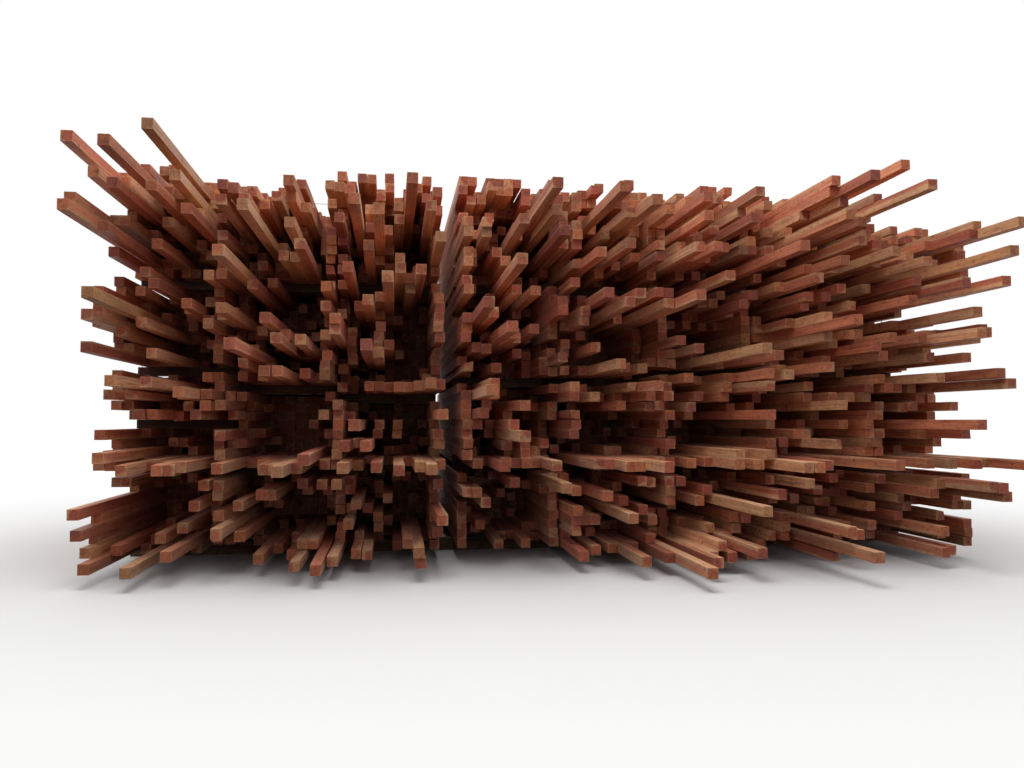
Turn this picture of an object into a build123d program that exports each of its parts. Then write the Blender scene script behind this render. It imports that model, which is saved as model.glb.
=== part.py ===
from build123d import *
import os
import random

# A yard stack of rough sawn square timbers, in strapped units on bunks.
# X runs along the face, Y from the ragged front to the even back, Z up from the ground.

# One timber
TIMBER = 99.0  # side of the square section
FOOT = 304.8
TRIM_LEAST = 20.0  # what the mill leaves on over the sold length
TRIM_MOST = 90.0
BACK_STAGGER = 25.0  # how far a timber may stop short of the even back
SEAT_GAP = 0.3  # between a timber and what it lies on
SIDE_GAP_LEAST = 0.4  # between two timbers of one course
SIDE_GAP_MEAN = 1.2

# Sold lengths in feet, and how common each is in a random length unit
LENGTHS_FT = (8, 10, 12, 14, 16, 18, 20)
SHARES = (28, 26, 17, 11, 10, 6, 2)
SIDE_SHARES = (6, 12, 24, 32, 24, 2, 0)  # for the timbers at a unit's two sides
WALL_SHARES = (0, 0, 14, 46, 40, 0, 0)  # for the length that half of one side's timbers share
WALL_FOLLOWS = 0.45  # how often a side timber has that length
WALL_UNEVEN = 15.0  # how far such a timber may be from it
CORNER_SHARES = (0, 0, 0, 48, 46, 6, 0)  # for the upper corners, which the straps need
GAP_SHARES = (0, 0, 0, 56, 36, 8, 0)  # for the left group's side towards the gap
TOP_SHARES = (0, 10, 42, 48, 0, 0, 0)  # for the upper courses of a column
TOP_CORNER_SHARES = (0, 0, 40, 60, 0, 0, 0)
TOP_COURSES = 3

# How common each length is in the bottom course, for each unit from the ground up
BOTTOM_SHARES = (
    (0, 16, 36, 14, 22, 12, 0),
    (0, 0, 4, 16, 40, 34, 6),
    (2, 14, 32, 22, 18, 10, 2),
    (2, 20, 44, 14, 10, 8, 2),
    (2, 20, 44, 14, 10, 8, 2),
)

# Columns of units, side by side in two groups
PER_COURSE = 11  # timbers side by side in a course
COLUMN_GAP = 30.0
GROUP_GAP = 205.0
UNIT_SHIFT = 8.0  # how far a unit may sit off its column's line
LEFT_GROUP = 3  # columns in the left group

# Courses in each unit, from the ground up, for each column from the left
COURSES = (
    (8, 4, 5, 9, 11),
    (8, 8, 11, 10),
    (8, 7, 12, 11),
    (8, 9, 10, 11),
    (8, 9, 10, 11),
    (8, 10, 9, 11),
    (8, 9, 10, 11),
    (8, 10, 9, 7),
)
TOP_COURSE_MISSING = 0.4  # share of the very top course that has been taken off

# Bunks under the units
GROUND_BUNK_HIGH = 140.0
GROUND_BUNK_WIDE = 140.0
GROUND_BUNK_PROUD = 40.0  # how far they stick out past the stack at each side
BUNK_HIGH = 99.0
BUNK_WIDE = 99.0
BUNK_SHORT = 12.0  # how much less than the unit's width they measure
BUNKS_FROM_BACK = (450.0, 1950.0, 3450.0)

# Steel straps round each unit
STRAP_WIDE = 19.0
STRAP_THICK = 0.8
STRAP_GAP = 0.3
STRAPS_FROM_BACK = (1150.0, 3300.0)
SEAL_LONG = 38.0
SEAL_WIDE = 23.0
SEAL_THICK = 3.0
SEAL_FROM_EDGE = 160.0

# Hollows in the face, where nearly all timbers are short: centre across the face from its
# left edge, centre above the ground, half width, half height
HOLLOWS = (
    (720.0, 2840.0, 200.0, 200.0),
    (650.0, 2210.0, 360.0, 210.0),
    (610.0, 1410.0, 400.0, 200.0),
    (420.0, 590.0, 450.0, 240.0),
    (1800.0, 2690.0, 410.0, 260.0),
    (1890.0, 2070.0, 340.0, 150.0),
    (1790.0, 1440.0, 400.0, 340.0),
    (1880.0, 490.0, 340.0, 230.0),
    (3030.0, 3270.0, 210.0, 270.0),
    (3020.0, 2390.0, 250.0, 370.0),
    (2880.0, 1510.0, 420.0, 350.0),
    (3040.0, 500.0, 270.0, 260.0),
    (4190.0, 3220.0, 290.0, 150.0),
    (4000.0, 2590.0, 220.0, 200.0),
    (4510.0, 2760.0, 170.0, 190.0),
    (4340.0, 1550.0, 230.0, 360.0),
    (4150.0, 470.0, 420.0, 250.0),
    (5000.0, 2970.0, 210.0, 160.0),
    (5330.0, 2320.0, 430.0, 230.0),
    (5330.0, 1370.0, 390.0, 190.0),
    (5650.0, 630.0, 190.0, 200.0),
    (6450.0, 2350.0, 430.0, 250.0),
    (6380.0, 1330.0, 540.0, 160.0),
    (8030.0, 1240.0, 700.0, 100.0),
)
HOLLOW_STEPS = 4  # how many sold lengths shorter the timbers are there

# Timbers that show where they end, as column, tier, course and place in the course, each
# counted from 1, and how far from the even back they reach
STAND_OUT = {
    (1, 5, 9, 1): 5950.0,
    (1, 5, 8, 5): 6200.0,
    (1, 5, 10, 8): 6050.0,
    (1, 5, 8, 1): 5000.0,
    (1, 5, 6, 4): 5650.0,
    (1, 5, 4, 1): 5800.0,
    (1, 5, 3, 1): 5950.0,
    (1, 5, 4, 2): 4900.0,
    (1, 5, 8, 3): 4900.0,
    (1, 5, 7, 8): 4900.0,
    (2, 4, 8, 1): 5000.0,
    (2, 4, 7, 3): 5000.0,
    (2, 4, 7, 4): 5100.0,
    (2, 4, 6, 8): 5350.0,
    (3, 3, 1, 4): 4700.0,
    (3, 3, 1, 5): 4700.0,
    (3, 3, 1, 6): 4700.0,
    (3, 3, 1, 8): 4850.0,
    (3, 3, 1, 9): 4900.0,
    (3, 3, 1, 11): 5200.0,
    (3, 2, 5, 5): 4450.0,
    (3, 2, 5, 7): 4500.0,
    (3, 2, 4, 5): 4450.0,
    (3, 2, 4, 7): 4450.0,
    (3, 2, 6, 2): 4500.0,
    (3, 2, 1, 2): 5850.0,
    (3, 2, 1, 7): 5900.0,
    (3, 2, 1, 10): 5750.0,
    (3, 2, 1, 11): 5100.0,
    (3, 4, 11, 11): 3700.0,
    (4, 4, 11, 2): 4350.0,
    (4, 4, 10, 4): 4550.0,
    (4, 4, 11, 7): 4300.0,
    (4, 4, 10, 11): 4450.0,
    (5, 4, 10, 4): 4550.0,
    (5, 4, 11, 8): 4400.0,
    (5, 4, 10, 7): 4750.0,
    (6, 4, 11, 4): 4850.0,
    (6, 4, 8, 8): 5450.0,
    (7, 4, 9, 4): 5600.0,
    (7, 4, 8, 4): 5550.0,
    (7, 4, 10, 10): 5850.0,
    (7, 4, 7, 10): 6250.0,
    (7, 4, 8, 10): 5350.0,
    (8, 4, 6, 1): 4850.0,
    (8, 4, 5, 9): 5500.0,
    (1, 1, 1, 2): 5500.0,
    (1, 1, 2, 1): 5200.0,
    (1, 1, 4, 1): 5450.0,
    (1, 1, 1, 6): 5700.0,
    (2, 1, 1, 5): 5050.0,
    (2, 1, 1, 8): 4900.0,
    (2, 1, 1, 11): 5750.0,
    (3, 1, 1, 1): 5350.0,
    (3, 1, 1, 4): 5000.0,
    (5, 1, 1, 1): 5300.0,
    (5, 1, 5, 5): 5700.0,
    (5, 1, 1, 6): 5750.0,
    (5, 1, 1, 10): 6400.0,
    (6, 1, 1, 1): 5950.0,
    (6, 1, 2, 5): 6050.0,
    (7, 1, 1, 3): 5650.0,
    (7, 1, 2, 3): 6450.0,
}

SEED = 4711

COURSE_RISE = TIMBER + SEAT_GAP
UNIT_WIDE = PER_COURSE * TIMBER + (PER_COURSE - 1) * SIDE_GAP_MEAN


def column_left(column):
    """The left side of a column, measured from the left edge of the face."""
    left = column * (UNIT_WIDE + COLUMN_GAP)
    if column >= LEFT_GROUP:
        left += GROUP_GAP - COLUMN_GAP
    return left


FACE_WIDE = column_left(len(COURSES) - 1) + UNIT_WIDE


def unit_floors(column):
    """The height of the underside of each unit in a column."""
    floors = []
    floor = GROUND_BUNK_HIGH + SEAT_GAP
    for courses in COURSES[column]:
        floors.append(floor)
        floor += courses * COURSE_RISE + BUNK_HIGH + SEAT_GAP
    return floors


def sold_length(rng, shares, shorter=0):
    """One timber's length: a sold length, some steps shorter if asked, and its trim."""
    step = rng.choices(range(len(LENGTHS_FT)), shares)[0]
    step = max(step - shorter, 0)
    return LENGTHS_FT[step] * FOOT + rng.uniform(TRIM_LEAST, TRIM_MOST)


def course_places(rng):
    """The left side of each timber in a course, from the unit's left side."""
    slack = (PER_COURSE - 1) * (SIDE_GAP_MEAN - SIDE_GAP_LEAST)
    parts = [rng.random() for _ in range(PER_COURSE - 1)]
    share = slack / sum(parts)
    places = [0.0]
    for part in parts:
        places.append(places[-1] + TIMBER + SIDE_GAP_LEAST + part * share)
    return places


def in_hollow(across, height):
    """Whether a place on the face lies in one of the hollows."""
    for centre, middle, half_wide, half_high in HOLLOWS:
        if ((across - centre) / half_wide) ** 2 + ((height - middle) / half_high) ** 2 < 1:
            return True
    return False


def usual_length(rng, column, tier, course, place, wall, hollow):
    """The length of a timber that nothing in STAND_OUT sets."""
    courses = COURSES[column][tier]
    top_unit = tier == len(COURSES[column]) - 1
    at_side = place in (0, PER_COURSE - 1)
    if at_side and course == courses - 1:
        return sold_length(rng, TOP_CORNER_SHARES if top_unit else CORNER_SHARES)
    if top_unit and course >= courses - TOP_COURSES:
        return sold_length(rng, TOP_SHARES)
    if column == LEFT_GROUP - 1 and place == PER_COURSE - 1:
        return sold_length(rng, GAP_SHARES)
    if at_side:
        return wall if rng.random() < WALL_FOLLOWS else sold_length(rng, SIDE_SHARES)
    if course == 0:
        return sold_length(rng, BOTTOM_SHARES[tier])
    return sold_length(rng, SHARES, HOLLOW_STEPS if hollow else 0)


def unit_timbers(rng, column, tier):
    """The timbers of one unit, each as its low corner, from the face's left edge and the
    even back, and its length."""
    courses = COURSES[column][tier]
    top_unit = tier == len(COURSES[column]) - 1
    left = column_left(column) + rng.uniform(-UNIT_SHIFT, UNIT_SHIFT)
    floor = unit_floors(column)[tier]
    walls = [sold_length(rng, WALL_SHARES) for _ in ("left", "right")]
    timbers = []
    for course in range(courses):
        places = course_places(rng)
        height = floor + course * COURSE_RISE
        for place, side in enumerate(places):
            at_side = place in (0, PER_COURSE - 1)
            if top_unit and course == courses - 1 and not at_side and rng.random() < TOP_COURSE_MISSING:
                continue
            back = rng.uniform(0, BACK_STAGGER)
            wall = walls[place > 0] + rng.uniform(-WALL_UNEVEN, WALL_UNEVEN)
            hollow = in_hollow(left + side, height)
            length = usual_length(rng, column, tier, course, place, wall, hollow)
            shown = STAND_OUT.get((column + 1, tier + 1, course + 1, place + 1))
            if shown:
                length = shown - back
            timbers.append((left + side, height, back, length))
    return left, timbers


# Every timber is chosen first, because the frame is centred on the longest reach
units = {}
for column, tiers in enumerate(COURSES):
    for tier in range(len(tiers)):
        rng = random.Random(f"{SEED} {column} {tier}")
        units[column, tier] = unit_timbers(rng, column, tier)

reach = max(back + length for _, timbers in units.values() for _, _, back, length in timbers)
nearest_back = min(back for _, timbers in units.values() for _, _, back, _ in timbers)
BACK_Y = (reach + nearest_back) / 2
LEFT_X = -FACE_WIDE / 2

LOW_CORNER = (Align.MIN, Align.MIN, Align.MIN)


def write(part, name):
    part.label = name
    export_step(part, f"parts/{name}.step", write_pcurves=False)


os.makedirs("parts", exist_ok=True)

# The units of timbers
for (column, tier), (left, timbers) in units.items():
    pieces = []
    for side, height, back, length in timbers:
        timber = Box(TIMBER, length, TIMBER, align=LOW_CORNER, mode=Mode.PRIVATE)
        pieces.append(timber.moved(Location((LEFT_X + side, BACK_Y - back - length, height))))
    with BuildPart() as unit:
        add(pieces)
    write(unit.part, f"column_{column + 1}_tier_{tier + 1}_timbers")

# The ground bunks run right across the stack, two to a row, end to end
ground_bunk_long = FACE_WIDE / 2 + GROUND_BUNK_PROUD - SEAT_GAP / 2
with BuildPart() as ground_bunks:
    for from_back in BUNKS_FROM_BACK:
        for end in (LEFT_X - GROUND_BUNK_PROUD, SEAT_GAP / 2):
            with Locations((end, BACK_Y - from_back - GROUND_BUNK_WIDE / 2, 0)):
                Box(ground_bunk_long, GROUND_BUNK_WIDE, GROUND_BUNK_HIGH, align=LOW_CORNER)
write(ground_bunks.part, "ground_bunks")

# The bunks between the units, as wide as the unit above them
tallest = max(len(tiers) for tiers in COURSES)
for tier in range(1, tallest):
    with BuildPart() as bunks:
        for column, tiers in enumerate(COURSES):
            if tier >= len(tiers):
                continue
            left = units[column, tier][0]
            top = unit_floors(column)[tier] - SEAT_GAP
            for from_back in BUNKS_FROM_BACK:
                corner = (
                    LEFT_X + left + BUNK_SHORT / 2,
                    BACK_Y - from_back - BUNK_WIDE / 2,
                    top - BUNK_HIGH,
                )
                with Locations(corner):
                    Box(UNIT_WIDE - BUNK_SHORT, BUNK_WIDE, BUNK_HIGH, align=LOW_CORNER)
    write(bunks.part, f"bunks_under_tier_{tier + 1}")


# Each strap is a closed band round its unit, with a crimped seal on top
for tier in range(tallest):
    with BuildPart() as straps:
        for column, tiers in enumerate(COURSES):
            if tier >= len(tiers):
                continue
            left = LEFT_X + units[column, tier][0]
            floor = unit_floors(column)[tier]
            inside_wide = UNIT_WIDE + 2 * STRAP_GAP
            inside_high = tiers[tier] * COURSE_RISE - SEAT_GAP + 2 * STRAP_GAP
            for from_back in STRAPS_FROM_BACK:
                start = BACK_Y - from_back + STRAP_WIDE / 2
                with BuildSketch(Plane.XZ.offset(-start)):
                    with Locations((left + UNIT_WIDE / 2, floor - STRAP_GAP + inside_high / 2)):
                        Rectangle(inside_wide + 2 * STRAP_THICK, inside_high + 2 * STRAP_THICK)
                        Rectangle(inside_wide, inside_high, mode=Mode.SUBTRACT)
                extrude(amount=STRAP_WIDE)
                seal_place = (
                    left + SEAL_FROM_EDGE,
                    BACK_Y - from_back,
                    floor - STRAP_GAP + inside_high,
                )
                with Locations(seal_place):
                    Box(SEAL_LONG, SEAL_WIDE, SEAL_THICK, align=(Align.CENTER, Align.CENTER, Align.MIN))
    write(straps.part, f"straps_tier_{tier + 1}")
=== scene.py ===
"""A stack of rough-sawn timbers, even at the back and uneven at the front, dressed over its CAD frame."""

import math
from functools import partial

import bmesh
import bpy
import numpy as np
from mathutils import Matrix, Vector


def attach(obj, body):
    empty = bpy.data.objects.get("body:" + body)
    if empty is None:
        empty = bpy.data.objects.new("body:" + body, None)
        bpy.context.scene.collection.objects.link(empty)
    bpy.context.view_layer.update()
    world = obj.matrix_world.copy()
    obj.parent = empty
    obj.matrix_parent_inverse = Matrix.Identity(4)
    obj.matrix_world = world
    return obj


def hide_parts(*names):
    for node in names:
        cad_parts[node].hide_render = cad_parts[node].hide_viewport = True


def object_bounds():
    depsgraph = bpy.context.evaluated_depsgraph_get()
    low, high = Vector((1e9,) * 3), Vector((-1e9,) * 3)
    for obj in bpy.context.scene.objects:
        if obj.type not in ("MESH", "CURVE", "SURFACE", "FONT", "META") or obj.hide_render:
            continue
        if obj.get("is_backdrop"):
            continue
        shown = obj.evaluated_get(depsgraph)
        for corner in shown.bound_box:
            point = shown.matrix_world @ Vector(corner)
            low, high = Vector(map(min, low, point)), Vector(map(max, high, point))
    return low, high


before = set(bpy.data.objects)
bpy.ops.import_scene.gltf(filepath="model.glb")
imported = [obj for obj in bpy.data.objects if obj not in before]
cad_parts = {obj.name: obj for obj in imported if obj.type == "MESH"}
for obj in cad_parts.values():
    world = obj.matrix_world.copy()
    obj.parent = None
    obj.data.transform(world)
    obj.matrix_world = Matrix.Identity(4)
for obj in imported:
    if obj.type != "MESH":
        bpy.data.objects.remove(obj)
cad_low, cad_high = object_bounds()

MM = 0.001  # every size below is in metres

# The timber that every other one is copied from
SIDE = 99 * MM
LONG = 2.4
ARRIS = 2 * MM  # flat left by handling along a sawn edge
END_ARRIS = 1 * MM
CUTS = (0.15, 0.50, 1.20)  # where the timber is cut round, so that it can bend
KEPT_FRONT = 0.50  # the modelled front end isn't stretched
KEPT_BACK = 0.20
ROUGH = 0.3 * MM  # how unevenly the saw leaves a face

# How a timber lies in its log
PITH_OFF = 24 * MM  # the pith is mostly near the middle of the timber
PITH_DRIFT = 0.004  # the rings aren't quite parallel to the saw
LOG_PLACES = 60  # each timber's grain starts somewhere along this much of the pattern

# A front end that nothing holds strays to one side, up or down
STRAY = 0.012  # for each metre that stands free
STRAY_LEAST, STRAY_GREATEST = 0.2, 1.4  # times that, from timber to timber
STRAY_MOST = 14 * MM
STRAY_WAYS = ((0, -1), (0, 1), (2, -1), (2, 1))  # axis and direction
STRAY_WAY_SHARES = (0.3, 0.3, 0.28, 0.12)
STRAY_CURVE = 1.3  # 1 would be straight
FREE_MOST = 1.5  # the bend is no longer than this
HELD = 0.05  # a timber is still held this far past its neighbour's end
BESIDE_MOST = 1.2 * SIDE  # a neighbour's middle is no further off to the side that the timber strays to
LEVEL_MOST = 0.9 * SIDE  # and no further off across it

END_FACE = 0.9  # a face that points this much along the timber is one of its ends
SAME_POINT = 0.05 * MM  # points nearer than this are one

rng = np.random.default_rng(20417)


# The timbers as modelled


def deselect():
    bpy.ops.object.select_all(action="DESELECT")


def edit(piece, kind):
    """Enters edit mode on one piece with nothing selected."""
    deselect()
    piece.select_set(True)
    bpy.context.view_layer.objects.active = piece
    bpy.ops.object.mode_set(mode="EDIT")
    bpy.ops.mesh.select_mode(type=kind)
    bpy.ops.mesh.select_all(action="DESELECT")


def select_where(piece, test):
    """Selects the edges or points of the piece in edit mode that pass the test, and no others."""
    bpy.ops.mesh.select_all(action="DESELECT")
    mesh = bmesh.from_edit_mesh(piece.data)
    for part in mesh.edges if "EDGE" in mesh.select_mode else mesh.verts:
        part.select_set(test(part))
    mesh.select_flush_mode()
    bmesh.update_edit_mesh(piece.data)


def is_along(edge):
    a, b = (point.co for point in edge.verts)
    return abs(a.y - b.y) > LONG / 2


def is_end_rim(edge):
    a, b = (point.co for point in edge.verts)
    return abs(a.y - b.y) < MM and (a.y < MM or a.y > LONG - MM)


def is_on_arris(point, side_x, side_z):
    inner = SIDE / 2 - 2 * ARRIS
    return point.co.x * side_x > inner and point.co.z * side_z > inner


def sawn_timber(name):
    """A timber along Y from its front end, with its arrises off."""
    deselect()
    bpy.ops.mesh.primitive_cube_add(size=1, location=(0, LONG / 2, 0), scale=(SIDE, LONG, SIDE))
    timber = bpy.context.active_object
    timber.name = name
    bpy.ops.object.transform_apply(location=True, rotation=True, scale=True)
    edit(timber, "EDGE")
    select_where(timber, is_along)
    bpy.ops.mesh.bevel(offset=ARRIS, offset_type="WIDTH", segments=1, affect="EDGES")
    select_where(timber, is_end_rim)
    bpy.ops.mesh.bevel(offset=END_ARRIS, offset_type="WIDTH", segments=1, affect="EDGES")
    for along in CUTS:
        bpy.ops.mesh.select_all(action="SELECT")
        bpy.ops.mesh.bisect(plane_co=(0, along, 0), plane_no=(0, 1, 0))
    bpy.ops.object.mode_set(mode="OBJECT")
    return timber


def pare_arris(timber, side_x, side_z, depths):
    """Pares an arris back where it was the outside of the log, by a depth at each cut from the front."""
    edit(timber, "VERT")
    for along, depth in zip((0.0, *CUTS, LONG), depths):
        select_where(
            timber,
            lambda point: abs(point.co.y - along) < 2 * END_ARRIS and is_on_arris(point, side_x, side_z),
        )
        bpy.ops.transform.translate(value=(-side_x * depth, 0, -side_z * depth))
    bpy.ops.object.mode_set(mode="OBJECT")


def lean_end(timber, lean_x, lean_z):
    """Cuts the front end a little out of square."""
    edit(timber, "VERT")
    for lean, axis in ((lean_x, 0), (lean_z, 2)):
        select_where(timber, lambda point: point.co.y < CUTS[0] / 2 and point.co[axis] * lean > 0)
        bpy.ops.transform.translate(value=(0, abs(lean), 0))
    bpy.ops.object.mode_set(mode="OBJECT")


def chip_corner(timber, side_x, side_z, depth):
    """Knocks a corner off the front end."""
    edit(timber, "VERT")
    select_where(timber, lambda point: point.co.y < CUTS[0] / 2 and is_on_arris(point, side_x, side_z))
    bpy.ops.transform.translate(value=(-side_x * depth / 2, depth, -side_z * depth / 2))
    bpy.ops.object.mode_set(mode="OBJECT")


plain = sawn_timber("plain")
leaning = sawn_timber("leaning")
lean_end(leaning, 4 * MM, -3 * MM)
chipped = sawn_timber("chipped")
chip_corner(chipped, 1, -1, 8 * MM)
lean_end(chipped, -2 * MM, 2 * MM)
waney_front = sawn_timber("waney_front")
pare_arris(waney_front, 1, 1, (8 * MM, 8 * MM, 5 * MM, 0, 0))
waney_middle = sawn_timber("waney_middle")
pare_arris(waney_middle, -1, 1, (0, 2 * MM, 8 * MM, 7 * MM, 0))
waney_all_along = sawn_timber("waney_all_along")
pare_arris(waney_all_along, 1, 1, (15 * MM, 13 * MM, 14 * MM, 11 * MM, 0))
chip_corner(waney_all_along, -1, -1, 6 * MM)

KINDS = (plain, leaning, chipped, waney_front, waney_middle, waney_all_along)
KIND_SHARES = (0.56, 0.30, 0.07, 0.03, 0.03, 0.01)


# Materials

SMOOTH = {"interpolation_type": "SMOOTHSTEP"}
MULTIPLY = {"operation": "MULTIPLY"}
MULTIPLY_ADD = {"operation": "MULTIPLY_ADD"}
OVER = "MIX"  # a layer that covers the colour below
STAIN = "MULTIPLY"  # a layer that darkens it
WAVE = math.pi / 10  # the waves of a wave texture of scale 1 are this far apart

RINGS_APART = 6 * MM  # the real ones are 2 to 4 mm apart and would not show
SAW_MARKS_APART = 9 * MM
SAW_DEPTH = 0.6 * MM
# From the pith to the sapwood: the least, how much more from log to log, and how uneven the edge is
HEART_LEAST, HEART_RANGE, HEART_UNEVEN = 40 * MM, 65 * MM, 24 * MM
SAP_FADE = 26 * MM
# How light the darkest timber is, and how much lighter in red, green and blue the driest is
DARKEST = 0.72
DRIED = (0.50, 0.54, 0.62)
KNOT_CELLS = 6.5  # to a metre
KNOT_CORE, KNOT_RIM = 0.06, 0.13  # of a cell
KNOTLESS = 0.55  # share of the cells
PITH_CORE, CHECKS_OPEN = 4 * MM, 30 * MM  # how far from the pith the drying checks begin and are open
SPOKES = 7.0
GRIME_CELLS = 28.0
MUD_CELLS = (8, 3, 8)  # across, along and across the grain
RUST_CELLS = 9.0
SPANGLE_CELLS = 125  # 8 mm across

# Noises that are drawn out along the grain: cells to a metre across it and along it, detail, roughness
NOISES = {
    "heart_edge": (14, 0.8, 2.0, 0.5),  # 70 mm wide and 1.2 m long
    "streaks": (66, 1.4, 3.0, 0.6),  # of fibre, 15 mm wide and 0.7 m long
    "stains": (32, 13, 4.0, 0.6),  # and saw scorch, 30 mm wide and 80 mm long
    "damp": (9, 1.1, 3.0, 0.5),  # patches a hand wide and a metre long
    "torn_and_highlit_edge": (22, 5, 3.0, 0.5),  # comes and goes every 50 to 200 mm
    "fibre": (900, 30, 2.0, 0.5),  # 1 mm wide and 30 mm long
}


def linear(code):
    """An sRGB hex value as the linear colour that a node takes."""
    parts = [int(code[i : i + 2], 16) / 255 for i in (1, 3, 5)]
    return [p / 12.92 if p <= 0.04045 else ((p + 0.055) / 1.055) ** 2.4 for p in parts] + [1.0]


def add_node(tree, kind, inputs=None, stops=(), **settings):
    """Adds a node with its settings, its inputs as values or links, and a colour ramp's stops.
    Gives the node's outputs."""
    node = tree.nodes.new("ShaderNode" + kind)
    for key, value in settings.items():
        setattr(node, key, value)
    for key, value in (inputs or {}).items():
        if isinstance(value, bpy.types.NodeSocket):
            tree.links.new(value, node.inputs[key])
        else:
            node.inputs[key].default_value = value
    for n, (place, code) in enumerate(stops):
        stop = node.color_ramp.elements[n] if n < 2 else node.color_ramp.elements.new(place)
        stop.position = place
        stop.color = linear(code)
    return node.outputs


def fir(name, hearts, saps, late, end_grain=False, dirt=0.0):
    """Green Douglas fir as the band saw leaves it: dull, with a slight shine where it is damp, and no
    two timbers of one colour. hearts and saps are the heartwood's and the sapwood's colours from timber
    to timber, and late darkens them where the late wood of each year is."""
    material = bpy.data.materials.new(name)
    material.use_nodes = True
    shader = material.node_tree.nodes["Principled BSDF"]
    add = partial(add_node, material.node_tree)
    grain = add("Attribute", attribute_name="grain")["Vector"]
    tint, section = (
        add("SeparateXYZ", {0: add("Attribute", attribute_name=values)["Vector"]})
        for values in ("tint", "section")
    )
    noises = {}
    for what, (across, along, detail, rough) in NOISES.items():
        drawn_out = add("VectorMath", {0: grain, 1: (across, along, across)}, **MULTIPLY)[0]
        cells = {"Vector": drawn_out, "Scale": 1.0, "Detail": detail, "Roughness": rough}
        noises[what] = add("TexNoise", cells)["Fac"]

    # Growth rings run nearly straight along the timber
    log = add("VectorMath", {0: grain, 1: (1, 0.05, 1)}, **MULTIPLY)[0]
    rings = {"Vector": log, "Scale": WAVE / RINGS_APART, "Distortion": 2.0, "Detail Scale": 0.4}
    rings = add("TexWave", rings, wave_type="RINGS", rings_direction="Y")["Fac"]

    # The heart of a small log, with the sapwood round it at the corners and edges of the timber
    cross = add("VectorMath", {0: grain, 1: (1, 0, 1)}, **MULTIPLY)[0]
    from_pith = add("VectorMath", {0: cross}, operation="LENGTH")["Value"]
    heart_edge = add("Math", {0: tint["Y"], 1: HEART_RANGE, 2: HEART_LEAST}, **MULTIPLY_ADD)[0]
    out = add("Math", {0: noises["heart_edge"], 1: HEART_UNEVEN, 2: from_pith}, **MULTIPLY_ADD)[0]
    past_heart = add("Math", {0: out, 1: heart_edge}, operation="SUBTRACT")[0]
    sap = add("MapRange", {0: past_heart, 2: SAP_FADE}, **SMOOTH)[0]
    heart_colour = add("ValToRGB", {0: tint["X"]}, hearts)["Color"]
    sap_colour = add("ValToRGB", {0: tint["Y"]}, saps)["Color"]

    # One timber is lighter and paler than the next, as it has dried more
    lighter = [add("Math", {0: tint["Z"], 1: most, 2: DARKEST}, **MULTIPLY_ADD)[0] for most in DRIED]
    dried = add("CombineColor", dict(enumerate(lighter)))[0]
    damp = add("MapRange", {0: noises["damp"], 1: 0.48, 2: 0.72}, **SMOOTH)[0]

    # Knots, up to 30 mm across, in some of the cells
    apart = add("VectorMath", {0: grain, 1: (1, 0.8, 1)}, **MULTIPLY)[0]
    cells = add("TexVoronoi", {"Vector": apart, "Scale": KNOT_CELLS})
    chance = add("SeparateColor", {0: cells["Color"]})[0]
    chosen = add("Math", {0: chance, 1: KNOTLESS}, operation="GREATER_THAN")[0]
    spot = {0: cells["Distance"], 1: KNOT_CORE, 2: KNOT_RIM, 3: 0.75, 4: 0.0}
    knot = add("Math", {0: add("MapRange", spot, **SMOOTH)[0], 1: chosen}, **MULTIPLY)[0]

    # What lies over the heartwood, in order: where it shows, its colour, and how the two mix
    late_wood = add("MapRange", {0: rings, 1: 0.5, 2: 0.95, 4: 0.42 if end_grain else 0.32}, **SMOOTH)[0]
    streaks = add("MapRange", {0: noises["streaks"], 1: 0.35, 2: 0.7, 4: 0.35}, **SMOOTH)[0]
    stains = add("MapRange", {0: noises["stains"], 1: 0.48, 2: 0.75, 4: 0.55}, **SMOOTH)[0]
    wet = add("Math", {0: damp, 1: 0.38}, **MULTIPLY)[0]
    layers = [
        (sap, sap_colour, OVER),
        (late_wood, linear(late), STAIN),
        (streaks, linear(late), STAIN),
        (stains, linear(late), STAIN),
        (1.0, dried, STAIN),
        (wet, linear("#8A5A48"), STAIN),
        (knot, linear("#4A2218"), OVER),
    ]
    if end_grain:
        # Drying checks run out from the pith
        around = add("VectorMath", {0: cross}, operation="NORMALIZE")[0]
        spokes = add("TexNoise", {"Vector": around, "Scale": SPOKES, "Detail": 1.0})["Fac"]
        spoke = add("MapRange", {0: spokes, 1: 0.66, 2: 0.70, 4: 0.8}, **SMOOTH)[0]
        off_pith = add("MapRange", {0: from_pith, 1: PITH_CORE, 2: CHECKS_OPEN}, **SMOOTH)[0]
        check = add("Math", {0: spoke, 1: off_pith}, **MULTIPLY)[0]
        grime = add("TexNoise", {"Vector": grain, "Scale": GRIME_CELLS, "Detail": 3.0})["Fac"]
        grime = add("MapRange", {0: grime, 1: 0.45, 2: 0.75, 4: 0.35}, **SMOOTH)[0]
        layers += [(check, linear("#2A120C"), OVER), (grime, linear("#7A4A3A"), STAIN)]
    if dirt:
        splashes = add("VectorMath", {0: grain, 1: MUD_CELLS}, **MULTIPLY)[0]
        mud = add("TexNoise", {"Vector": splashes, "Scale": 1.0, "Detail": 4.0})["Fac"]
        mud = add("MapRange", {0: mud, 1: 0.35, 2: 0.7, 4: dirt}, **SMOOTH)[0]
        layers.append((mud, linear("#34241C"), OVER))
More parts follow.
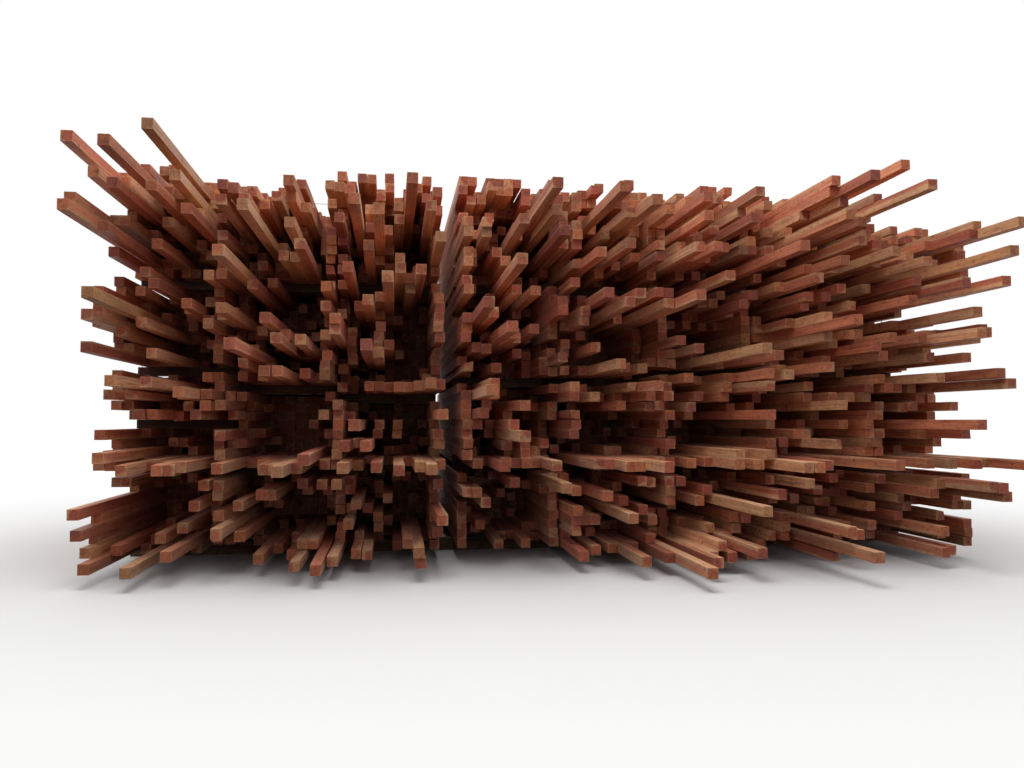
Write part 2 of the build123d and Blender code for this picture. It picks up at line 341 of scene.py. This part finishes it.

    # Along the edges the torn fibre is dry and pale, and this paler colour is also a painted highlight
    # where the arrises catch the light
    off_x, off_z = (add("Math", {0: section[axis]}, operation="ABSOLUTE")[0] for axis in ("X", "Z"))
    to_edge = add("Math", {0: off_x, 1: off_z}, operation="MAXIMUM" if end_grain else "MINIMUM")[0]
    to_edge = add("Math", {0: noises["torn_and_highlit_edge"], 1: 0.5, 2: to_edge}, **MULTIPLY_ADD)[0]
    pale_and_highlit_edge = add("MapRange", {0: to_edge, 1: 1.08, 2: 1.34, 4: 0.10 if dirt else 0.36}, **SMOOTH)[0]
    layers.append((pale_and_highlit_edge, linear("#E2AC7C"), OVER))

    colour = heart_colour
    for amount, over, how in layers:
        colour = add("Mix", {0: amount, 6: colour, 7: over}, data_type="RGBA", blend_type=how)[2]

    # The band saw leaves marks across the sides and torn fibre along them, and ends show the rings
    marks = {"Vector": grain, "Scale": WAVE / SAW_MARKS_APART, "Distortion": 1.5, "Detail Scale": 0.4}
    marks = rings if end_grain else add("TexWave", marks, wave_type="BANDS", bands_direction="Y")["Fac"]
    fibre = add("Math", {0: noises["fibre"], 1: 0.8}, **MULTIPLY)[0]
    height = add("Math", {0: marks, 1: 0.35, 2: fibre}, **MULTIPLY_ADD)[0]
    bump = add("Bump", {"Height": height, "Strength": 0.45, "Distance": SAW_DEPTH})[0]
    dry_rough, wet_rough = (0.95, 0.80) if dirt else (0.64, 0.44)
    rough = add("MapRange", {0: damp, 3: dry_rough, 4: wet_rough}, **SMOOTH)[0]
    for socket, value in (("Base Color", colour), ("Roughness", rough), ("Normal", bump)):
        material.node_tree.links.new(value, shader.inputs[socket])
    shader.inputs["IOR"].default_value = 1.45
    # The torn fibres catch light that grazes them
    shader.inputs["Sheen Weight"].default_value = 0.06
    shader.inputs["Sheen Roughness"].default_value = 0.6
    shader.inputs["Sheen Tint"].default_value = linear("#D4DCF4")
    return material


def zinc_steel(name):
    """Hot-dip zinc on steel strapping: dull grey spangle, with rust where the coat has worn through."""
    material = bpy.data.materials.new(name)
    material.use_nodes = True
    shader = material.node_tree.nodes["Principled BSDF"]
    add = partial(add_node, material.node_tree)
    place = add("TexCoord")["Object"]
    spangles = add("TexVoronoi", {"Vector": place, "Scale": SPANGLE_CELLS})["Color"]
    spangle = add("SeparateColor", {0: spangles})[0]
    zinc = add("ValToRGB", {0: spangle}, ((0.0, "#8C9092"), (1.0, "#B4B8BA")))["Color"]
    rust = add("TexNoise", {"Vector": place, "Scale": RUST_CELLS, "Detail": 5.0, "Roughness": 0.65})["Fac"]
    rust = add("MapRange", {0: rust, 1: 0.52, 2: 0.66}, **SMOOTH)[0]
    colour = add("Mix", {0: rust, 6: zinc, 7: linear("#6E3A22")}, data_type="RGBA")[2]
    rough = add("MapRange", {0: rust, 3: 0.42, 4: 0.85}, **SMOOTH)[0]
    metal = add("MapRange", {0: rust, 3: 1.0, 4: 0.1}, **SMOOTH)[0]
    for socket, value in (("Base Color", colour), ("Roughness", rough), ("Metallic", metal)):
        material.node_tree.links.new(value, shader.inputs[socket])
    return material


# On the sawn sides the heartwood runs from a bluish red through orange to a yellow and a dull tan
SIDE_HEARTS = (
    (0.0, "#C46C4A"),
    (0.30, "#D67E56"),
    (0.55, "#E08E60"),
    (0.78, "#E89E6C"),
    (0.92, "#E8B076"),
    (1.0, "#CEA06E"),
)
SIDE_SAPS = ((0.0, "#E8B07E"), (0.5, "#ECBA88"), (1.0, "#E2B07A"))
# End grain drinks more water, and is redder and darker
END_HEARTS = ((0.0, "#A85034"), (0.35, "#B65E3A"), (0.65, "#C26E40"), (0.85, "#C87C4A"), (1.0, "#BE8A58"))
END_SAPS = ((0.0, "#CA8C5C"), (0.6, "#D29664"), (1.0, "#C2925E"))
# Bunks are used again and again, and have gone brown and muddy; their colours are also darkened as painted
# shade for where they lie deep between the tiers
MUDDY_SHADED_BUNK_HEARTS = ((0.0, "#5A3626"), (0.5, "#6A4632"), (1.0, "#785842"))
MUDDY_SHADED_BUNK_SAPS = ((0.0, "#6E5238"), (1.0, "#7C6446"))
timber_side = fir("rough_sawn_fir", SIDE_HEARTS, SIDE_SAPS, "#9C5A48")
timber_end = fir("fir_end_grain", END_HEARTS, END_SAPS, "#8A463A", end_grain=True)
bunk_side = fir("yard_worn_shaded_fir", MUDDY_SHADED_BUNK_HEARTS, MUDDY_SHADED_BUNK_SAPS, "#5A3A2C", dirt=0.75)
bunk_end = fir("yard_worn_shaded_fir_end_grain", MUDDY_SHADED_BUNK_HEARTS, MUDDY_SHADED_BUNK_SAPS, "#4E3226", end_grain=True, dirt=0.7)
strapping = zinc_steel("zinc_coated_steel_strapping")


# The stack


def solids_of(node):
    """The lowest and highest corners of each separate solid in a CAD node."""
    mesh = bmesh.new()
    mesh.from_mesh(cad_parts[node].data)
    bmesh.ops.remove_doubles(mesh, verts=mesh.verts, dist=SAME_POINT)
    seen = set()
    corners = []
    for start in mesh.verts:
        if start in seen:
            continue
        seen.add(start)
        solid, todo = [], [start]
        while todo:
            point = todo.pop()
            solid.append(point.co)
            joined = {edge.other_vert(point) for edge in point.link_edges} - seen
            seen |= joined
            todo += joined
        solid = np.array(solid)
        corners.append((solid.min(0), solid.max(0)))
    mesh.free()
    return corners


def free_length(solids, n, axis, sign):
    """How much of a timber's front end stands past its neighbour on one side."""
    low, high = solids[n]
    across = 2 - axis
    free = FREE_MOST
    for other_low, other_high in solids:
        away = (other_low + other_high - low - high) / 2
        if SIDE / 2 < sign * away[axis] < BESIDE_MOST and abs(away[across]) < LEVEL_MOST:
            free = min(free, other_low[1] - low[1] - HELD)
    return max(free, 0)


def lay(kind, low, high, lengthways, faces):
    """Copies a modelled timber into a solid's place: turned, stretched to length, with its own grain."""
    timber = kind.copy()
    timber.data = kind.data.copy()
    bpy.context.scene.collection.objects.link(timber)
    mesh = timber.data
    points = np.empty(3 * len(mesh.vertices))
    mesh.vertices.foreach_get("co", points)
    x, y, z = points.reshape(-1, 3).T

    size = high - low
    long, wide, tall = size[lengthways], size[1 - lengthways], size[2]
    y = np.interp(y, (0, KEPT_FRONT, LONG - KEPT_BACK, LONG), (0, KEPT_FRONT, long - KEPT_BACK, long))
    turn = int(rng.integers(4))
    for _ in range(turn):
        x, z = -z, x
    pare = 1 - rng.uniform(0, 2 * ROUGH / SIDE, len(x))
    x = x * pare * wide / SIDE
    z = z * pare * tall / SIDE

    roll = rng.uniform(0, 2 * math.pi)
    pith_x, pith_z = rng.normal(0, PITH_OFF, 2)
    drift_x, drift_z = rng.normal(0, PITH_DRIFT, 2)
    grain = np.column_stack(
        [
            x * math.cos(roll) - z * math.sin(roll) + pith_x + drift_x * y,
            y + rng.uniform(0, LOG_PLACES),
            x * math.sin(roll) + z * math.cos(roll) + pith_z + drift_z * y,
        ]
    )
    section = np.column_stack([2 * x / wide, y, 2 * z / tall])
    tint = np.tile(rng.random(3), (len(x), 1))
    for name, values in (("grain", grain), ("section", section), ("tint", tint)):
        layer = mesh.attributes.new(name, "FLOAT_VECTOR", "POINT")
        layer.data.foreach_set("vector", values.astype(np.float32).ravel())
    for material in faces:
        mesh.materials.append(material)
    ends = [abs(face.normal.y) > END_FACE for face in mesh.polygons]
    mesh.polygons.foreach_set("material_index", ends)

    middle = (low + high) / 2
    if lengthways == 1:
        placed = np.column_stack([middle[0] + x, low[1] + y, middle[2] + z])
    else:
        placed = np.column_stack([low[0] + y, middle[1] - x, middle[2] + z])
    return timber, placed


def set_points(timber, placed):
    placed = np.clip(placed, cad_low, cad_high)
    timber.data.vertices.foreach_set("co", placed.astype(np.float32).ravel())
    timber.data.update()


def stray(placed, solids, n):
    """Bends the free front end of a timber a little to one side, up or down."""
    low = solids[n][0]
    axis, sign = STRAY_WAYS[rng.choice(len(STRAY_WAYS), p=STRAY_WAY_SHARES)]
    free = free_length(solids, n, axis, sign)
    reach = min(STRAY * free * rng.uniform(STRAY_LEAST, STRAY_GREATEST), STRAY_MOST)
    if free > 0:
        placed[:, axis] += sign * reach * np.clip(1 - (placed[:, 1] - low[1]) / free, 0, 1) ** STRAY_CURVE
    return placed


def join(timbers, name, node):
    """Joins the timbers of a node into the piece that stands for it."""
    deselect()
    for timber in timbers:
        timber.select_set(True)
    bpy.context.view_layer.objects.active = timbers[0]
    bpy.ops.object.join()
    piece = bpy.context.active_object
    piece.name = name
    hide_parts(node)
    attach(piece, "root")


for node in sorted(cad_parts):
    if node.endswith("_timbers"):
        solids = solids_of(node)
        timbers = []
        for n, (low, high) in enumerate(solids):
            kind = KINDS[rng.choice(len(KINDS), p=KIND_SHARES)]
            timber, placed = lay(kind, low, high, 1, (timber_side, timber_end))
            set_points(timber, stray(placed, solids, n))
            timbers.append(timber)
        join(timbers, "sawn_" + node, node)
    elif "bunks" in node:
        timbers = []
        for low, high in solids_of(node):
            kind = KINDS[rng.choice(len(KINDS), p=KIND_SHARES)]
            timber, placed = lay(kind, low, high, 0, (bunk_side, bunk_end))
            set_points(timber, placed)
            timbers.append(timber)
        join(timbers, "worn_" + node, node)
    else:
        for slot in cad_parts[node].material_slots:
            slot.material = strapping

for kind in KINDS:
    bpy.data.objects.remove(kind)


# Floor, backdrop and light

FLOOR_WIDE = 160
SHADOW_ENDS = 5.5  # from here on the floor begins to run out into the white backdrop
FLOOR_ENDS = 26.0
# The sky is brightest overhead, at the sides and behind the stack, and dullest low in front of it
SKY_LEVEL, SKY_UP, SKY_BESIDE, SKY_BEHIND = 0.60, 0.28, 0.46, 0.28
SKY = ((0.0, "#000000"), (0.35, "#868EA4"), (0.75, "#D8DCE4"), (1.0, "#FFFFFF"))
LAMP_PLACE, LAMP_TARGET = Vector((-1.5, -6.5, 12.5)), Vector((0, -1.5, 1.5))
LAMP_WIDE = 8.0
LAMP_POWER = 750  # watts


def seen_and_lit(add, seen, lit):
    """A colour that the camera, reflections and glass see, and another that lights the stack."""
    rays = add("LightPath")
    shown = rays["Is Camera Ray"]
    for ray in ("Is Glossy Ray", "Is Transmission Ray"):
        shown = add("Math", {0: shown, 1: rays[ray]}, operation="MAXIMUM")[0]
    return add("Mix", {0: shown, 6: lit, 7: seen}, data_type="RGBA")[2]


deselect()
bpy.ops.mesh.primitive_plane_add(size=FLOOR_WIDE)
floor = bpy.context.active_object
floor.name = "floor"
# A matt painted floor. Near the stack it shows the shadow, and further off it is as white as the backdrop
painted = bpy.data.materials.new("matt_painted_floor")
painted.use_nodes = True
add = partial(add_node, painted.node_tree)
from_middle = add("VectorMath", {0: add("TexCoord")["Object"]}, operation="LENGTH")["Value"]
nearness = add("Math", {0: 1.0, 1: from_middle}, operation="DIVIDE")[0]
far = add("MapRange", {0: nearness, 1: 1 / SHADOW_ENDS, 2: 1 / FLOOR_ENDS}, **SMOOTH)[0]
near_colour = seen_and_lit(add, linear("#E4E4E2"), linear("#343A4A"))
colour = add("Mix", {0: far, 6: near_colour, 7: linear("#000000")}, data_type="RGBA")[2]
glow = add("Math", {0: far, 1: seen_and_lit(add, linear("#FFFFFF"), linear("#000000"))}, **MULTIPLY)[0]
matt = painted.node_tree.nodes["Principled BSDF"].inputs
painted.node_tree.links.new(colour, matt["Base Color"])
painted.node_tree.links.new(glow, matt["Emission Strength"])
matt["Emission Color"].default_value = linear("#FFFFFF")
matt["Roughness"].default_value = 0.9
floor.data.materials.append(painted)
floor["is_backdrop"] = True

world = bpy.data.worlds.new("overcast")
bpy.context.scene.world = world
world.use_nodes = True
add = partial(add_node, world.node_tree)
toward = add("SeparateXYZ", {0: add("TexCoord")["Generated"]})
beside = add("Math", {0: toward["X"]}, operation="ABSOLUTE")[0]
level = SKY_LEVEL
for part, rise in ((toward["Z"], SKY_UP), (beside, SKY_BESIDE), (toward["Y"], SKY_BEHIND)):
    level = add("Math", {0: part, 1: rise, 2: level}, **MULTIPLY_ADD)[0]
sky = seen_and_lit(add, linear("#FFFFFF"), add("ValToRGB", {0: level}, SKY)["Color"])
world.node_tree.links.new(sky, world.node_tree.nodes["Background"].inputs["Color"])

lamp = bpy.data.objects.new("overhead_softbox", bpy.data.lights.new("overhead_softbox", "AREA"))
bpy.context.scene.collection.objects.link(lamp)
lamp.data.shape = "DISK"
lamp.data.size = LAMP_WIDE
lamp.data.energy = LAMP_POWER
lamp.location = LAMP_PLACE
lamp.rotation_euler = (LAMP_TARGET - LAMP_PLACE).to_track_quat("-Z", "Y").to_euler()


# Camera, where the photograph was taken from

PHOTO_WIDE, PHOTO_HIGH = 1024, 768
FOCAL = 850.0  # pixels of the photograph
VANISHING = (392.0, 421.0)  # where the timbers' edges meet in the photograph
FROM_BACK = 13.60  # camera to the stack's even back
FROM_LEFT = 2.89  # camera in from the stack's left side
EYE = 1.52
SENSOR = 36.0  # mm
CLIP_END = 300

yaw = math.atan((PHOTO_WIDE / 2 - VANISHING[0]) / FOCAL)
pitch = math.atan((VANISHING[1] - PHOTO_HIGH / 2) / FOCAL * math.cos(yaw))
camera = bpy.data.objects.new("camera", bpy.data.cameras.new("camera"))
bpy.context.scene.collection.objects.link(camera)
camera.data.sensor_width = SENSOR
camera.data.lens = SENSOR * FOCAL / PHOTO_WIDE
camera.data.clip_end = CLIP_END
camera.location = (cad_low[0] + FROM_LEFT, cad_high[1] - FROM_BACK, EYE)
camera.rotation_euler = (math.pi / 2 + pitch, 0, -yaw)
bpy.context.scene.camera = camera
bpy.context.scene.view_settings.view_transform = "Standard"

low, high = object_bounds()
